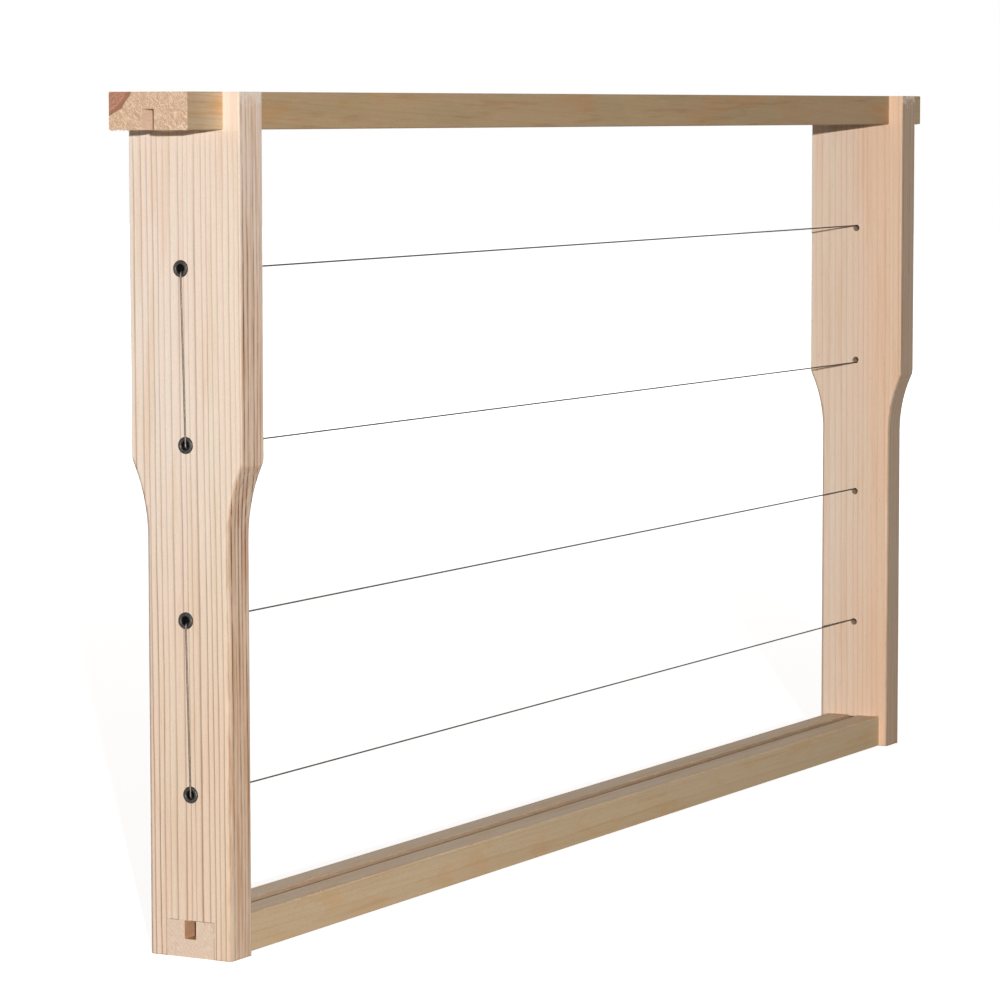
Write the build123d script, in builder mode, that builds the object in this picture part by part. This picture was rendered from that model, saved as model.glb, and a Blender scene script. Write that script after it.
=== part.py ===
from build123d import *
import os

# Wired beehive frame, self-spacing (Hoffman) pattern, for a deep Langstroth box.
#
# A grooved top bar with a lug at each end hangs the frame in the box. Two end bars, wide above
# and narrow below, hold it one bee space from its neighbours. A grooved bottom bar is tenoned
# through them, and one steel wire crosses the frame four times to carry a sheet of wax.
#
# X runs along the frame, Y through its thickness (front is -Y) and Z up. The origin is at the
# middle of the frame's foot. All lengths are in millimetres.

# ---- Driving dimensions ----

# Whole frame
frame_length = 448.0  # over the outer faces of the end bars
frame_height = 232.0  # foot to top
lug_length = 17.0  # top bar beyond each end bar

# End bars
end_bar_thickness = 11.0
spacing_width = 35.0  # wide upper part, which keeps neighbouring frames apart
spacing_height = 99.0  # straight wide part, down from the top
shoulder_step = 4.5  # from the wide part in to the narrow part, each side
shoulder_height = 20.0
upper_arris = 0.3  # rounding of the wide part's upright edges
lower_arris = 1.3  # rounding of the narrow part's and the shoulders' edges

# Top bar
top_bar_width = 24.5
top_bar_thickness = 10.0
rebate_depth = 2.0  # cut in the top bar's sides, where an end bar's ears grip it
seat_depth = 0.5  # cut in its underside, where it sits on an end bar

# Bottom bar
bottom_bar_width = 20.0
bottom_bar_height = 10.5
tenon_shoulder = 2.5  # each side of a tenon
tenon_drop = 0.5  # a tenon's top below the bar's top

# Both bars
bar_arris = 0.4  # rounding of the long edges
groove_width = 3.6  # for the wax sheet, in the top bar's underside and the bottom bar's top
groove_depth = 5.5

# Wire holes
hole_count = 4
highest_hole_drop = 46.7  # centre below the frame's top
lowest_hole_height = 44.3  # centre above the frame's foot
left_hole_drift = (1.3, 0.2, 0.6, -0.5)  # each drilled this far behind the centre line
right_hole_drift = (0.0, 0.0, 0.0, 0.0)

# Eyelets
eyelet_bore = 2.3
eyelet_wall = 0.35
eyelet_flange = 4.6  # outer diameter of the rolled flange
eyelet_length = 4.5  # shank in the wood

# Wire
wire_diameter = 0.45
wire_clearance = 0.02  # between the wire and what it lies on
wire_lean = 0.5  # of the wire to the front, where it bears on a left eyelet's lip

# Wire tacks
tack_diameter = 1.2
tack_length = 8.0  # in the wood
tack_head_diameter = 3.0
tack_head_thickness = 0.6
tack_distance = 14.0  # above the wire hole that it serves

# Nails
nail_diameter = 1.4
nail_head_diameter = 3.0
nail_head_thickness = 0.6
top_nail_length = 32.0
bottom_nail_length = 25.0
point_ratio = 1.5  # a fastener's point, in shank diameters

# ---- Worked out from them ----

inner_length = frame_length - 2 * end_bar_thickness
top_bar_length = frame_length + 2 * lug_length
end_bar_middle = (frame_length - end_bar_thickness) / 2

lower_width = spacing_width - 2 * shoulder_step
shoulder_top = frame_height - spacing_height
shoulder_bottom = shoulder_top - shoulder_height
housing_width = top_bar_width - 2 * rebate_depth
housing_depth = top_bar_thickness - seat_depth

tenon_width = bottom_bar_width - 2 * tenon_shoulder
tenon_height = bottom_bar_height - tenon_drop

seat_diameter = eyelet_bore + 2 * eyelet_wall  # of an eyelet's shank, in a wire hole
highest_hole = frame_height - highest_hole_drop
hole_pitch = (highest_hole - lowest_hole_height) / (hole_count - 1)
hole_heights = [highest_hole - row * hole_pitch for row in range(hole_count)]

bore_radius = eyelet_bore / 2
bead_radius = (eyelet_flange - eyelet_bore) / 4
bead_centre = bore_radius + bead_radius

# A link of wire lies on the flanges. Its bends follow the rolled beads.
wire_radius = wire_diameter / 2
link_stand_off = bead_radius + wire_radius + wire_clearance
bend_radius = link_stand_off
wire_rise = bead_centre - bend_radius  # of the wire from the bore's axis, where it bears on a lip
leaning_rise = (wire_rise**2 - wire_lean**2) ** 0.5  # the same, where it also leans to the front
link_plane = frame_length / 2 + link_stand_off

wrap_radius = tack_diameter / 2 + wire_radius + wire_clearance
tack_stand_off = link_stand_off + wire_radius + wire_clearance  # under the tack's head
tack_heights = [hole_heights[0] + tack_distance, hole_heights[-1] + tack_distance]

top_nail_offset = (groove_width + housing_width) / 4
bottom_nail_offset = (groove_width + tenon_width) / 4

DOWN = Vector(0, 0, -1)
UP = Vector(0, 0, 1)
INTO_RIGHT_BAR = Vector(-1, 0, 0)
SIDES = {"left": -1, "right": 1}
FACES = {"front": -1, "back": 1}


def keep(piece, name):
    """Label a finished sub-part and write its STEP file."""
    piece.part.label = name
    export_step(piece.part, f"parts/{name}.step")


# ---- Fasteners ----
# Each is a profile turned about its own axis. The wood is cut with the same solid, because a
# driven nail fills its hole.


def headed_nail(head_top, direction, length, diameter, head_diameter, head_thickness):
    """Make a nail from the middle of its head's top, driven along direction."""
    across = Vector(0, 1, 0)
    profile_plane = Plane(origin=head_top, x_dir=across, z_dir=across.cross(direction))
    point_length = point_ratio * diameter
    with BuildPart() as nail:
        with BuildSketch(profile_plane):
            with BuildLine():
                Polyline(
                    (0, 0),
                    (head_diameter / 2, 0),
                    (head_diameter / 2, head_thickness),
                    (diameter / 2, head_thickness),
                    (diameter / 2, length - point_length),
                    (0, length),
                    close=True,
                )
            make_face()
        revolve(axis=Axis(head_top, direction))
    return nail


def bar_nail(side, face, height, direction, length, offset):
    """Make a nail on an end bar's middle plane."""
    return headed_nail(
        Vector(SIDES[side] * end_bar_middle, FACES[face] * offset, height),
        direction,
        length,
        nail_diameter,
        nail_head_diameter,
        nail_head_thickness,
    )


def wire_tack(height):
    """Make a tack that stands out of the right end bar, for the wire to be wound on."""
    head_x = frame_length / 2 + tack_stand_off + tack_head_thickness
    return headed_nail(
        Vector(head_x, wrap_radius, height),
        INTO_RIGHT_BAR,
        tack_head_thickness + tack_stand_off + tack_length,
        tack_diameter,
        tack_head_diameter,
        tack_head_thickness,
    )


top_nails = {
    f"{side}_top_nail_{face}": bar_nail(
        side, face, frame_height, DOWN, top_nail_length, top_nail_offset
    )
    for side in SIDES
    for face in FACES
}
bottom_nails = {
    f"{side}_bottom_nail_{face}": bar_nail(
        side, face, 0, UP, bottom_nail_length, bottom_nail_offset
    )
    for side in SIDES
    for face in FACES
}
wire_tacks = {
    "upper_wire_tack": wire_tack(tack_heights[0]),
    "lower_wire_tack": wire_tack(tack_heights[1]),
}


def drive_in(fasteners):
    """Cut the current part with the fasteners driven into it."""
    for fastener in fasteners.values():
        add(fastener.part, mode=Mode.SUBTRACT)


# ---- Top bar ----
# One stick of the same section from lug to lug, grooved along its underside. Where it sits in an
# end bar it is rebated at both sides for the ears, and a little underneath for the seat.

with BuildPart() as top_bar:
    with BuildSketch(Plane.YZ):
        with Locations((0, frame_height - top_bar_thickness / 2)):
            Rectangle(top_bar_width, top_bar_thickness)
    extrude(amount=top_bar_length / 2, both=True)
    fillet(top_bar.edges().filter_by(Axis.X), bar_arris)
    with BuildSketch(Plane.YZ):
        with Locations((0, frame_height - top_bar_thickness + groove_depth / 2)):
            Rectangle(groove_width, groove_depth)
    extrude(amount=top_bar_length / 2, both=True, mode=Mode.SUBTRACT)
    with Locations((0, 0, frame_height - top_bar_thickness / 2)):
        with GridLocations(2 * end_bar_middle, top_bar_width - rebate_depth, 2, 2):
            Box(end_bar_thickness, rebate_depth, top_bar_thickness, mode=Mode.SUBTRACT)
    with Locations((0, 0, frame_height - top_bar_thickness + seat_depth / 2)):
        with GridLocations(2 * end_bar_middle, 0, 2, 1):
            Box(end_bar_thickness, housing_width, seat_depth, mode=Mode.SUBTRACT)
    drive_in(top_nails)


# ---- Bottom bar ----
# Wider between the end bars than its tenons, which pass through them and end flush. Its groove
# runs out through the tenons.

with BuildPart() as bottom_bar:
    with BuildSketch(Plane.YZ):
        with Locations((0, bottom_bar_height / 2)):
            Rectangle(bottom_bar_width, bottom_bar_height)
    extrude(amount=inner_length / 2, both=True)
    fillet(bottom_bar.edges().filter_by(Axis.X), bar_arris)
    with BuildSketch(Plane.YZ):
        with Locations((0, tenon_height / 2)):
            Rectangle(tenon_width, tenon_height)
    extrude(amount=frame_length / 2, both=True)
    with BuildSketch(Plane.YZ):
        with Locations((0, bottom_bar_height - groove_depth / 2)):
            Rectangle(groove_width, groove_depth)
    extrude(amount=frame_length / 2, both=True, mode=Mode.SUBTRACT)
    drive_in(bottom_nails)


# ---- End bars ----


def end_bar(side, hole_drift, fasteners):
    """Make the left (side -1) or the right (side 1) end bar.

    The outline is drawn as a half and mirrored. Each shoulder is an arc that leaves the narrow
    edge as its tangent and meets the wide edge at a corner. The wire holes are as wide as an
    eyelet's bore, and wider from the outer face for its shank.
    """
    face_plane = Plane.YZ.offset(side * inner_length / 2)
    hole_centres = list(zip(hole_drift, hole_heights))
    with BuildPart() as bar:
        with BuildSketch(face_plane):
            with BuildLine():
                foot = Line((0, 0), (lower_width / 2, 0))
                narrow_edge = Line(foot @ 1, (lower_width / 2, shoulder_bottom))
                shoulder = TangentArc(
                    narrow_edge @ 1, (spacing_width / 2, shoulder_top), tangent=(0, 1)
                )
                Polyline(shoulder @ 1, (spacing_width / 2, frame_height), (0, frame_height))
                mirror(about=Plane.YZ)
            make_face()
        extrude(amount=side * end_bar_thickness)
        upright_edges = bar.edges().filter_by(Axis.X, reverse=True).filter_by(Axis.Y, reverse=True)
        fillet(upright_edges.filter_by(lambda edge: edge.center().Z < shoulder_top), lower_arris)
        wide_edges = bar.edges().filter_by(Axis.Z)
        fillet(wide_edges.filter_by(lambda edge: edge.center().Z > shoulder_top), upper_arris)
        with BuildSketch(face_plane):
            with Locations((0, frame_height - housing_depth / 2)):
                Rectangle(housing_width, housing_depth)
            with Locations((0, tenon_height / 2)):
                Rectangle(tenon_width, tenon_height)
            with Locations(*hole_centres):
                Circle(bore_radius)
        extrude(amount=side * end_bar_thickness, mode=Mode.SUBTRACT)
        with BuildSketch(face_plane.offset(side * end_bar_thickness)):
            with Locations(*hole_centres):
                Circle(seat_diameter / 2)
        extrude(amount=-side * eyelet_length, mode=Mode.SUBTRACT)
        drive_in(fasteners)
    return bar


def nails_of(side):
    """Pick the nails that enter one end bar."""
    nails = {**top_nails, **bottom_nails}
    return {name: nail for name, nail in nails.items() if name.startswith(side)}


left_end_bar = end_bar(SIDES["left"], left_hole_drift, nails_of("left"))
right_end_bar = end_bar(SIDES["right"], right_hole_drift, {**nails_of("right"), **wire_tacks})


# ---- Eyelets ----


def eyelet(side, drift, height):
    """Make an eyelet pressed into an end bar's outer face.

    The profile is a thin shank in the wood with a half-round rolled bead on the face.
    """
    centre = Vector(side * frame_length / 2, drift, height)
    outward = Vector(side, 0, 0)
    with BuildPart() as ring:
        with BuildSketch(Plane(origin=centre, x_dir=outward, z_dir=outward.cross(UP))):
            with BuildLine():
                CenterArc((0, bead_centre), bead_radius, 90, -180)
                Polyline(
                    (0, bore_radius),
                    (-eyelet_length, bore_radius),
                    (-eyelet_length, seat_diameter / 2),
                    (0, seat_diameter / 2),
                    (0, eyelet_flange / 2),
                )
            make_face()
        revolve(axis=Axis(centre, outward))
    return ring


# ---- Frame wire ----
# One wire: wound on the upper tack, across and back twice through the eyelets, and wound on the
# lower tack. It is taut, so every run is straight, and it bends only round beads and tacks.

left_corners = [
    Vector(-link_plane, drift - wire_lean, height - leaning_rise)
    for drift, height in zip(left_hole_drift, hole_heights)
]
right_corners = [
    Vector(link_plane, drift, height + bearing * wire_rise)
    for drift, height, bearing in zip(right_hole_drift, hole_heights, (1, -1, 1, 1))
]
tack_points = [Vector(link_plane, 0, height) for height in tack_heights]
route = [
    tack_points[0],
    right_corners[0],
    left_corners[0],
    left_corners[1],
    right_corners[1],
    right_corners[2],
    left_corners[2],
    left_corners[3],
    right_corners[3],
    tack_points[1],
]


def wind_on_tack(start):
    """Draw three quarters of a turn round a tack, from where the wire meets it going up."""
    far_side = start + Vector(0, 2 * wrap_radius, 0)
    end = start + Vector(0, wrap_radius, -wrap_radius)
    TangentArc(start, far_side, tangent=UP)
    TangentArc(far_side, end, tangent=DOWN)


with BuildPart() as frame_wire:
    with BuildLine() as wire_path:
        FilletPolyline(*route, radius=bend_radius)
        for tack_point in tack_points:
            wind_on_tack(tack_point)
    wire_line = wire_path.wire()
    with BuildSketch(Plane(origin=wire_line @ 0, z_dir=wire_line % 0)) as wire_section:
        Circle(wire_radius)
    sweep(path=wire_line)

wire_fill = frame_wire.part.volume / (wire_line.length * wire_section.sketch.area)
print(f"wire: {wire_line.length:.1f} mm long, bends of {bend_radius:.2f} and {wrap_radius:.2f} mm")
print(f"wire: volume over section times length {wire_fill:.4f}")


# ---- Write every sub-part ----

os.makedirs("parts", exist_ok=True)

keep(top_bar, "top_bar")
keep(bottom_bar, "bottom_bar")
keep(left_end_bar, "left_end_bar")
keep(right_end_bar, "right_end_bar")
keep(frame_wire, "frame_wire")

for side, hole_drift in (("left", left_hole_drift), ("right", right_hole_drift)):
    for row, (drift, height) in enumerate(zip(hole_drift, hole_heights), start=1):
        keep(eyelet(SIDES[side], drift, height), f"{side}_eyelet_{row}")

for name, fastener in {**top_nails, **bottom_nails, **wire_tacks}.items():
    keep(fastener, name)
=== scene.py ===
"""Looks of a wired beehive frame: wood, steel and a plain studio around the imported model."""

import logging
import math
from collections.abc import Sequence
from dataclasses import dataclass, field
from enum import Enum

import bpy
import numpy as np
from mathutils import Matrix, Vector


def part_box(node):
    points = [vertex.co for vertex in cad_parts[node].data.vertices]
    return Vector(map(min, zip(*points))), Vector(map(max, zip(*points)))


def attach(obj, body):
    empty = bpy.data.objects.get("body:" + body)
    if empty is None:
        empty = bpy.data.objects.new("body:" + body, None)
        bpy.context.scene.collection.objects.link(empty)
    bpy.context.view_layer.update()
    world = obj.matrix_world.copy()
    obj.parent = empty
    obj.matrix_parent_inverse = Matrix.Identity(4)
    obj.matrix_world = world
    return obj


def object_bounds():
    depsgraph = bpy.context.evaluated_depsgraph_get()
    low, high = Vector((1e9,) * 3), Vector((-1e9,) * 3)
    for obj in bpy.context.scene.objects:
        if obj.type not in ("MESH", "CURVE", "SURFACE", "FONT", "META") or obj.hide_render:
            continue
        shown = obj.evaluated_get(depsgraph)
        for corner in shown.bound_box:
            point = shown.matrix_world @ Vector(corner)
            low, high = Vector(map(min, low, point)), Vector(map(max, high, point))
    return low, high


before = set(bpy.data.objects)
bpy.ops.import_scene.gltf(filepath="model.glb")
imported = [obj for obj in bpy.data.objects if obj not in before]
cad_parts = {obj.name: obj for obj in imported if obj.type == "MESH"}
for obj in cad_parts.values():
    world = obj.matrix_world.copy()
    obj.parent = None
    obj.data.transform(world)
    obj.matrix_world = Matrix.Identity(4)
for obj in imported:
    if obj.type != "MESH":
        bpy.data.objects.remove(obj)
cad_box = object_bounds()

ROOT = "root"
MM = 0.001

Colour = tuple[float, float, float]
Point = tuple[float, float, float]
Socket = bpy.types.NodeSocket
Axes = tuple[Socket, Socket, Socket]
Stops = tuple[tuple[float, float], ...]

logging.basicConfig(level=logging.INFO, format="%(message)s")
log = logging.getLogger("hive_frame")


def frame_top() -> float:
    """Tell how high the frame stands."""
    return cad_box[1][2]


def linear(colour: Colour) -> Colour:
    """Turn an 8-bit display colour into scene light.

    Each channel c in 0..255 goes through the display curve: c/12.92 near black, and
    ((c + 0.055) / 1.055) to the power 2.4 above it.

    Args:
        colour: Red, green and blue from 0 to 255.

    Returns:
        Linear red, green and blue from 0 to 1.
    """
    shares = (channel / 255 for channel in colour)
    return tuple(s / 12.92 if s <= 0.04045 else ((s + 0.055) / 1.055) ** 2.4 for s in shares)


class Nodes:
    """A node tree, with one short call for each kind of node that the scene uses."""

    def __init__(self, tree: bpy.types.NodeTree) -> None:
        """Take over a tree and empty it."""
        self.tree = tree
        self.tree.nodes.clear()

    def plug(self, value: object, socket: Socket) -> None:
        """Link a socket, or set a plain value on it.

        Args:
            value: A socket to link from, a colour or a number.
            socket: The socket that takes it.
        """
        if isinstance(value, bpy.types.NodeSocket):
            self.tree.links.new(value, socket)
        elif isinstance(value, tuple) and socket.type == "RGBA":
            socket.default_value = (*value[:3], 1.0)
        else:
            socket.default_value = value

    def node(self, kind: str, **settings: object) -> bpy.types.Node:
        """Add a node and set its own properties.

        Args:
            kind: The node's Blender type.
            settings: The properties by name.

        Returns:
            The node.
        """
        made = self.tree.nodes.new(kind)
        for key, value in settings.items():
            setattr(made, key, value)
        return made

    def maths(self, operation: str, *values: object, clamp: bool = False) -> Socket:
        """Combine numbers with one Math node.

        Args:
            operation: The node's operation, such as "MULTIPLY".
            values: One to three sockets or numbers.
            clamp: Whether the result is kept from 0 to 1.

        Returns:
            The result's socket.
        """
        made = self.node("ShaderNodeMath", operation=operation, use_clamp=clamp)
        for value, socket in zip(values, made.inputs):
            self.plug(value, socket)
        return made.outputs[0]

    def join(self, x: object, y: object, z: object) -> Socket:
        """Make a vector of three numbers.

        Args:
            x: The first number or socket.
            y: The second.
            z: The third.

        Returns:
            The vector's socket.
        """
        made = self.node("ShaderNodeCombineXYZ")
        for value, socket in zip((x, y, z), made.inputs):
            self.plug(value, socket)
        return made.outputs[0]

    def noise(self, vector: Socket, detail: float = 2.0, roughness: float = 0.5) -> Socket:
        """Sample smooth noise, about one lump to a unit of the vector.

        Args:
            vector: Where it is sampled.
            detail: Finer layers in the noise.
            roughness: Strength of the finer layers.

        Returns:
            The noise from 0 to 1, with a mean of one half.
        """
        made = self.node("ShaderNodeTexNoise", noise_dimensions="3D")
        self.plug(vector, made.inputs["Vector"])
        self.plug(1.0, made.inputs["Scale"])
        self.plug(detail, made.inputs["Detail"])
        self.plug(roughness, made.inputs["Roughness"])
        return made.outputs["Fac"]

    def chance(self, number: Socket) -> Socket:
        """Turn a whole number into an even chance.

        Args:
            number: The whole number.

        Returns:
            The chance from 0 to 1, always the same for one number.
        """
        made = self.node("ShaderNodeTexWhiteNoise", noise_dimensions="1D")
        self.plug(number, made.inputs["W"])
        return made.outputs["Value"]

    def span(self, value: Socket, low: object, high: object, start: object = 0.0,
             end: object = 1.0, smooth: bool = False) -> Socket:
        """Map one range onto another, clamped.

        Args:
            value: The number to map.
            low: The number that becomes start.
            high: The number that becomes end.
            start: The result at low.
            end: The result at high.
            smooth: Whether the way between them is an S curve, not a straight line.

        Returns:
            The mapped number.
        """
        made = self.node("ShaderNodeMapRange",
                         interpolation_type="SMOOTHSTEP" if smooth else "LINEAR")
        for number, name in zip((value, low, high, start, end),
                                ("Value", "From Min", "From Max", "To Min", "To Max")):
            self.plug(number, made.inputs[name])
        return made.outputs["Result"]

    def mix(self, share: object, first: object, second: object, blend: str = "MIX") -> Socket:
        """Mix two colours or numbers.

        Args:
            share: How much of the second shows, from 0 to 1.
            first: The colour at a share of 0.
            second: The colour laid over it.
            blend: The way they blend, such as "MULTIPLY".

        Returns:
            The mixed colour.
        """
        made = self.node("ShaderNodeMix", data_type="RGBA", blend_type=blend)
        self.plug(share, made.inputs[0])
        self.plug(first, made.inputs[6])
        self.plug(second, made.inputs[7])
        return made.outputs[2]

    def curve(self, value: Socket, stops: Sequence[tuple[float, float]]) -> Socket:
        """Map a number through straight pieces between stops.

        Args:
            value: The number from 0 to 1.
            stops: Pairs of a rising place and the height there, both from 0 to 1.

        Returns:
            The height.
        """
        made = self.node("ShaderNodeValToRGB")
        elements = made.color_ramp.elements
        while len(elements) < len(stops):
            elements.new(0.5)
        for element, (place, height) in zip(elements, stops):
            element.position = place
            element.color = (height, height, height, 1.0)
        self.plug(value, made.inputs["Fac"])
        return made.outputs["Color"]

    def course(self, value: Socket, stops: Stops) -> Socket:
        """Map a place in metres onto a number, through straight pieces between the stops.

        Args:
            value: The place along an axis.
            stops: Pairs of a rising place and the number there.

        Returns:
            The number, which keeps its end values outside the stops.
        """
        low, high = stops[0][0], stops[-1][0]
        top = max(height for _, height in stops)
        shares = [((place - low) / (high - low), height / top) for place, height in stops]
        return self.maths("MULTIPLY", self.curve(self.span(value, low, high), shares), top)

    def bump(self, height: Socket, distance: float, strength: float) -> Socket:
        """Turn a height into a bumped normal.

        Args:
            height: The height, from about 0 to 1.
            distance: What a height of 1 stands for, in metres.
            strength: How much of the bump shows, from 0 to 1.

        Returns:
            The normal.
        """
        made = self.node("ShaderNodeBump")
        self.plug(distance, made.inputs["Distance"])
        self.plug(strength, made.inputs["Strength"])
        self.plug(height, made.inputs["Height"])
        return made.outputs["Normal"]


class Graph(Nodes):
    """A material's node tree, with its Principled shader."""

    def __init__(self, name: str) -> None:
        """Start a material that holds only a Principled shader and its output."""
        self.material = bpy.data.materials.new(name)
        self.material.use_nodes = True
        super().__init__(self.material.node_tree)
        self.shader = self.node("ShaderNodeBsdfPrincipled")
        self.plug(self.shader.outputs["BSDF"],
                  self.node("ShaderNodeOutputMaterial").inputs["Surface"])


class Grain(Enum):
    """The way a piece of wood's fibres run; the value is its two cross axes, then its long axis."""

    UPRIGHT = ("X", "Y", "Z")
    ALONG = ("Y", "Z", "X")


class Faces(Enum):
    """Which faces of a bar a tone is for: all, its broad ones or the steep ones beside them."""

    ALL = "all"
    BROAD = "broad"
    STEEP = "steep"

    def share(self, g: Graph, steep: Socket) -> object:
        """Give the share of a tone that a face takes.

        Args:
            g: The material's graph.
            steep: How steep the face is, from 0 to 1.

        Returns:
            The share from 0 to 1, as a number or a socket.
        """
        if self is Faces.ALL:
            return 1.0
        return steep if self is Faces.STEEP else g.maths("SUBTRACT", 1.0, steep)


@dataclass(frozen=True)
class Knot:
    """A branch's stub in a bar: an egg of dark, reddish wood.

    centre and radii are in the object's frame; the egg's skin wanders by a share of its radius.
    """

    centre: Point
    radii: Point
    dark: Colour = linear((142, 90, 68))
    pale: Colour = linear((200, 148, 122))
    rim: Colour = linear((118, 74, 56))
    wander: float = 0.22


@dataclass(frozen=True)
class Joint:
    """Where a tenon fills a notch: half its width across, its height, and how dark its seam is."""

    half_width: float
    height: float
    seam: float = 0.20 * MM
    tone: Colour = linear((96, 70, 54))


@dataclass(frozen=True)
class Wash:
    """A tone that comes in along one of the object's axes, from start to end.

    With both_ways the distance from the middle counts, whichever side it is on.
    """

    axis: str
    start: float
    end: float
    tone: Colour
    both_ways: bool = False
    faces: Faces = Faces.ALL

    def over(self, g: Graph, place: bpy.types.Node, colour: Socket, steep: Socket) -> Socket:
        """Multiply a colour by the tone where the wash has come in.

        Args:
            g: The material's graph.
            place: The separated Object coordinates.
            colour: The colour under the wash.
            steep: How steep the face is.

        Returns:
            The washed colour.
        """
        spot = place.outputs[self.axis]
        spot = g.maths("ABSOLUTE", spot) if self.both_ways else spot
        share = g.span(spot, self.start, self.end, smooth=True)
        share = g.maths("MULTIPLY", share, self.faces.share(g, steep))
        return g.mix(share, colour, g.mix(1.0, colour, self.tone, "MULTIPLY"))


@dataclass(frozen=True)
class Stain:
    """Soft patches of another tone: their size across and along the grain, and how many show.

    A patch shows where smooth noise is above low, and fully above high. A higher low leaves
    fewer and smaller patches.
    """

    tone: Colour
    across: float
    along: float
    shift: float
    low: float = 0.50
    high: float = 0.66
    faces: Faces = Faces.ALL


@dataclass(frozen=True)
class WoodFinish:
    """Planed, unfinished pine, worked out through the solid from its growth rings.

    The distance from a pith line gives the ring, so faces, edges and end grain agree. Each ring
    darkens slowly to a thin late-wood line and starts pale again.
    """

    name: str
    grain: Grain
    early: Colour
    blush: Colour
    late: Colour
    late_blush: Colour
    end_tone: Colour
    pith: tuple[float, float]
    ring: float = 1.3 * MM
    lines: Stops = ((0.0, 0.5), (1.0, 0.5))
    steep_lines: Stops = ((0.0, 0.6), (1.0, 0.6))
    faintest: float = 0.35
    # Steep-face tone: partly the faces' own tone, partly painted light that darkens or cools whole
    # faces by their direction.
    steep_tone_and_shade: Colour = (0.92, 0.89, 0.87)
    steep_late: Colour = linear((104, 70, 48))
    # Arris tone: below 1 it is painted shade against the highlight the rounded edges catch; above 1
    # it is a painted highlight.
    arris_painted_light: Colour = (0.74, 0.69, 0.65)
    wander: float = 0.55 * MM
    slope: float = 0.004
    washes: tuple[Wash, ...] = ()
    stains: tuple[Stain, ...] = ()
    fibre_depth: float = 0.045
    grit_depth: float = 0.05
    groove_half: float = 0.0
    # Groove wall tone: partly the groove's own sawn wood, partly painted light that lifts the shade
    # inside the groove.
    groove: Colour = linear((214, 184, 154))
    stroke_tone: Colour = linear((238, 218, 196))
    stroke: float = 0.24 * MM
    stroke_share: float = 0.5
    saw_turn: float = -30.0
    torn_above: float | None = None
    torn_tone: Colour = linear((238, 226, 214))
    joint: Joint | None = None
    knot: Knot | None = None
    ring_cut: Stops = ((0.0, 0.8), (0.07, 0.0), (0.62, 0.02), (0.80, 0.22), (0.90, 1.0), (1.0, 0.8))
    steep_cut: Stops = ((0.0, 0.8), (0.09, 0.05), (0.5, 0.05), (0.72, 0.3), (0.86, 1.0), (1.0, 0.8))
    roughness: float = 0.62

    def material(self) -> bpy.types.Material:
        """Build the material.

        Returns:
            A Principled material that reads Object coordinates.
        """
        g = Graph(self.name)
        place = g.node("ShaderNodeSeparateXYZ")
        g.plug(g.node("ShaderNodeTexCoord").outputs["Object"], place.inputs[0])
        axes = tuple(place.outputs[axis] for axis in self.grain.value)
        normal = g.node("ShaderNodeSeparateXYZ")
        g.plug(g.node("ShaderNodeNewGeometry").outputs["True Normal"], normal.inputs[0])
        lean = [g.maths("ABSOLUTE", normal.outputs[axis]) for axis in self.grain.value]
        across = g.span(lean[2], 0.12, 0.9, smooth=True)
        steep = g.span(lean[1], 0.4, 0.9, smooth=True)
        count, share = self._rings(g, axes)
        late = self._late(g, axes, count, share, steep)
        colour = self._side_colour(g, axes, count, late, steep)
        if self.torn_above is not None:
            colour = self._torn(g, axes, colour, steep)
        # Rounded arrises take their own tone, broken up by patchy noise. Below 1 it is painted
        # shade that damps the highlight the rounded edges catch. Above 1, on the bottom bar, it is
        # a painted highlight along the long edges, partly crushed fibres.
        arris = g.span(g.maths("MULTIPLY", lean[0], lean[1]), 0.08, 0.40)
        arris_breakup = g.span(self._lumps(g, axes, 2 * MM, 9 * MM, shift=29.0), 0.35, 0.6, 0.3, 1.0)
        arris = g.maths("MULTIPLY", arris, arris_breakup)
        colour = g.mix(arris, colour, g.mix(1.0, colour, self.arris_painted_light, "MULTIPLY"))
        # The groove's walls and floor take the groove tone, shaded by saw marks. It is partly their
        # own sawn wood and partly painted light: in the top bar it is paler than the bar, lifting
        # the shade inside the groove.
        if self.groove_half:
            inside = g.span(g.maths("ABSOLUTE", place.outputs["Y"]),
                            self.groove_half + 0.05 * MM, self.groove_half + 0.02 * MM)
            sawn = self._lumps(g, axes, 0.5 * MM, 3 * MM, 2.0, 0.6, shift=23.0)
            shade = g.span(sawn, 0.3, 0.7, 0.88, 1.08)
            wall = g.mix(1.0, self.groove, g.join(shade, shade, shade), "MULTIPLY")
            colour = g.mix(g.maths("MULTIPLY", inside, 0.85), colour, wall)
        for wash in self.washes:
            colour = wash.over(g, place, colour, steep)
        end = self._end_colour(g, axes, share)
        colour = g.mix(across, colour, end)
        if self.knot:
            colour = self._knotted(g, axes, colour)
        if self.joint:
            colour = self._seamed(g, place, colour)
        g.plug(colour, g.shader.inputs["Base Color"])
        g.plug(self._relief(g, axes, late, across), g.shader.inputs["Normal"])
        g.plug(g.span(late, 0.0, 1.0, self.roughness, self.roughness - 0.12),
               g.shader.inputs["Roughness"])
        g.plug(0.3, g.shader.inputs["Specular IOR Level"])
        return g.material

    def _lumps(self, g: Graph, axes: Axes, across: float, along: float, detail: float = 2.0,
               roughness: float = 0.5, shift: float = 0.0) -> Socket:
        """Sample noise whose lumps have one size across the grain and another along it.

        Args:
            g: The material's graph.
            axes: The two cross axes and the long axis.
            across: Lump size across the grain, in metres.
            along: Lump size along the grain, in metres.
            detail: Finer layers in the noise.
            roughness: Strength of the finer layers.
            shift: Moves the pattern, in lumps, so that two patterns of one size differ.

        Returns:
            The noise from 0 to 1.
        """
        first = g.maths("MULTIPLY_ADD", axes[0], 1 / across, shift)
        second = g.maths("DIVIDE", axes[1], across)
        return g.noise(g.join(first, second, g.maths("DIVIDE", axes[2], along)), detail, roughness)

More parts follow.
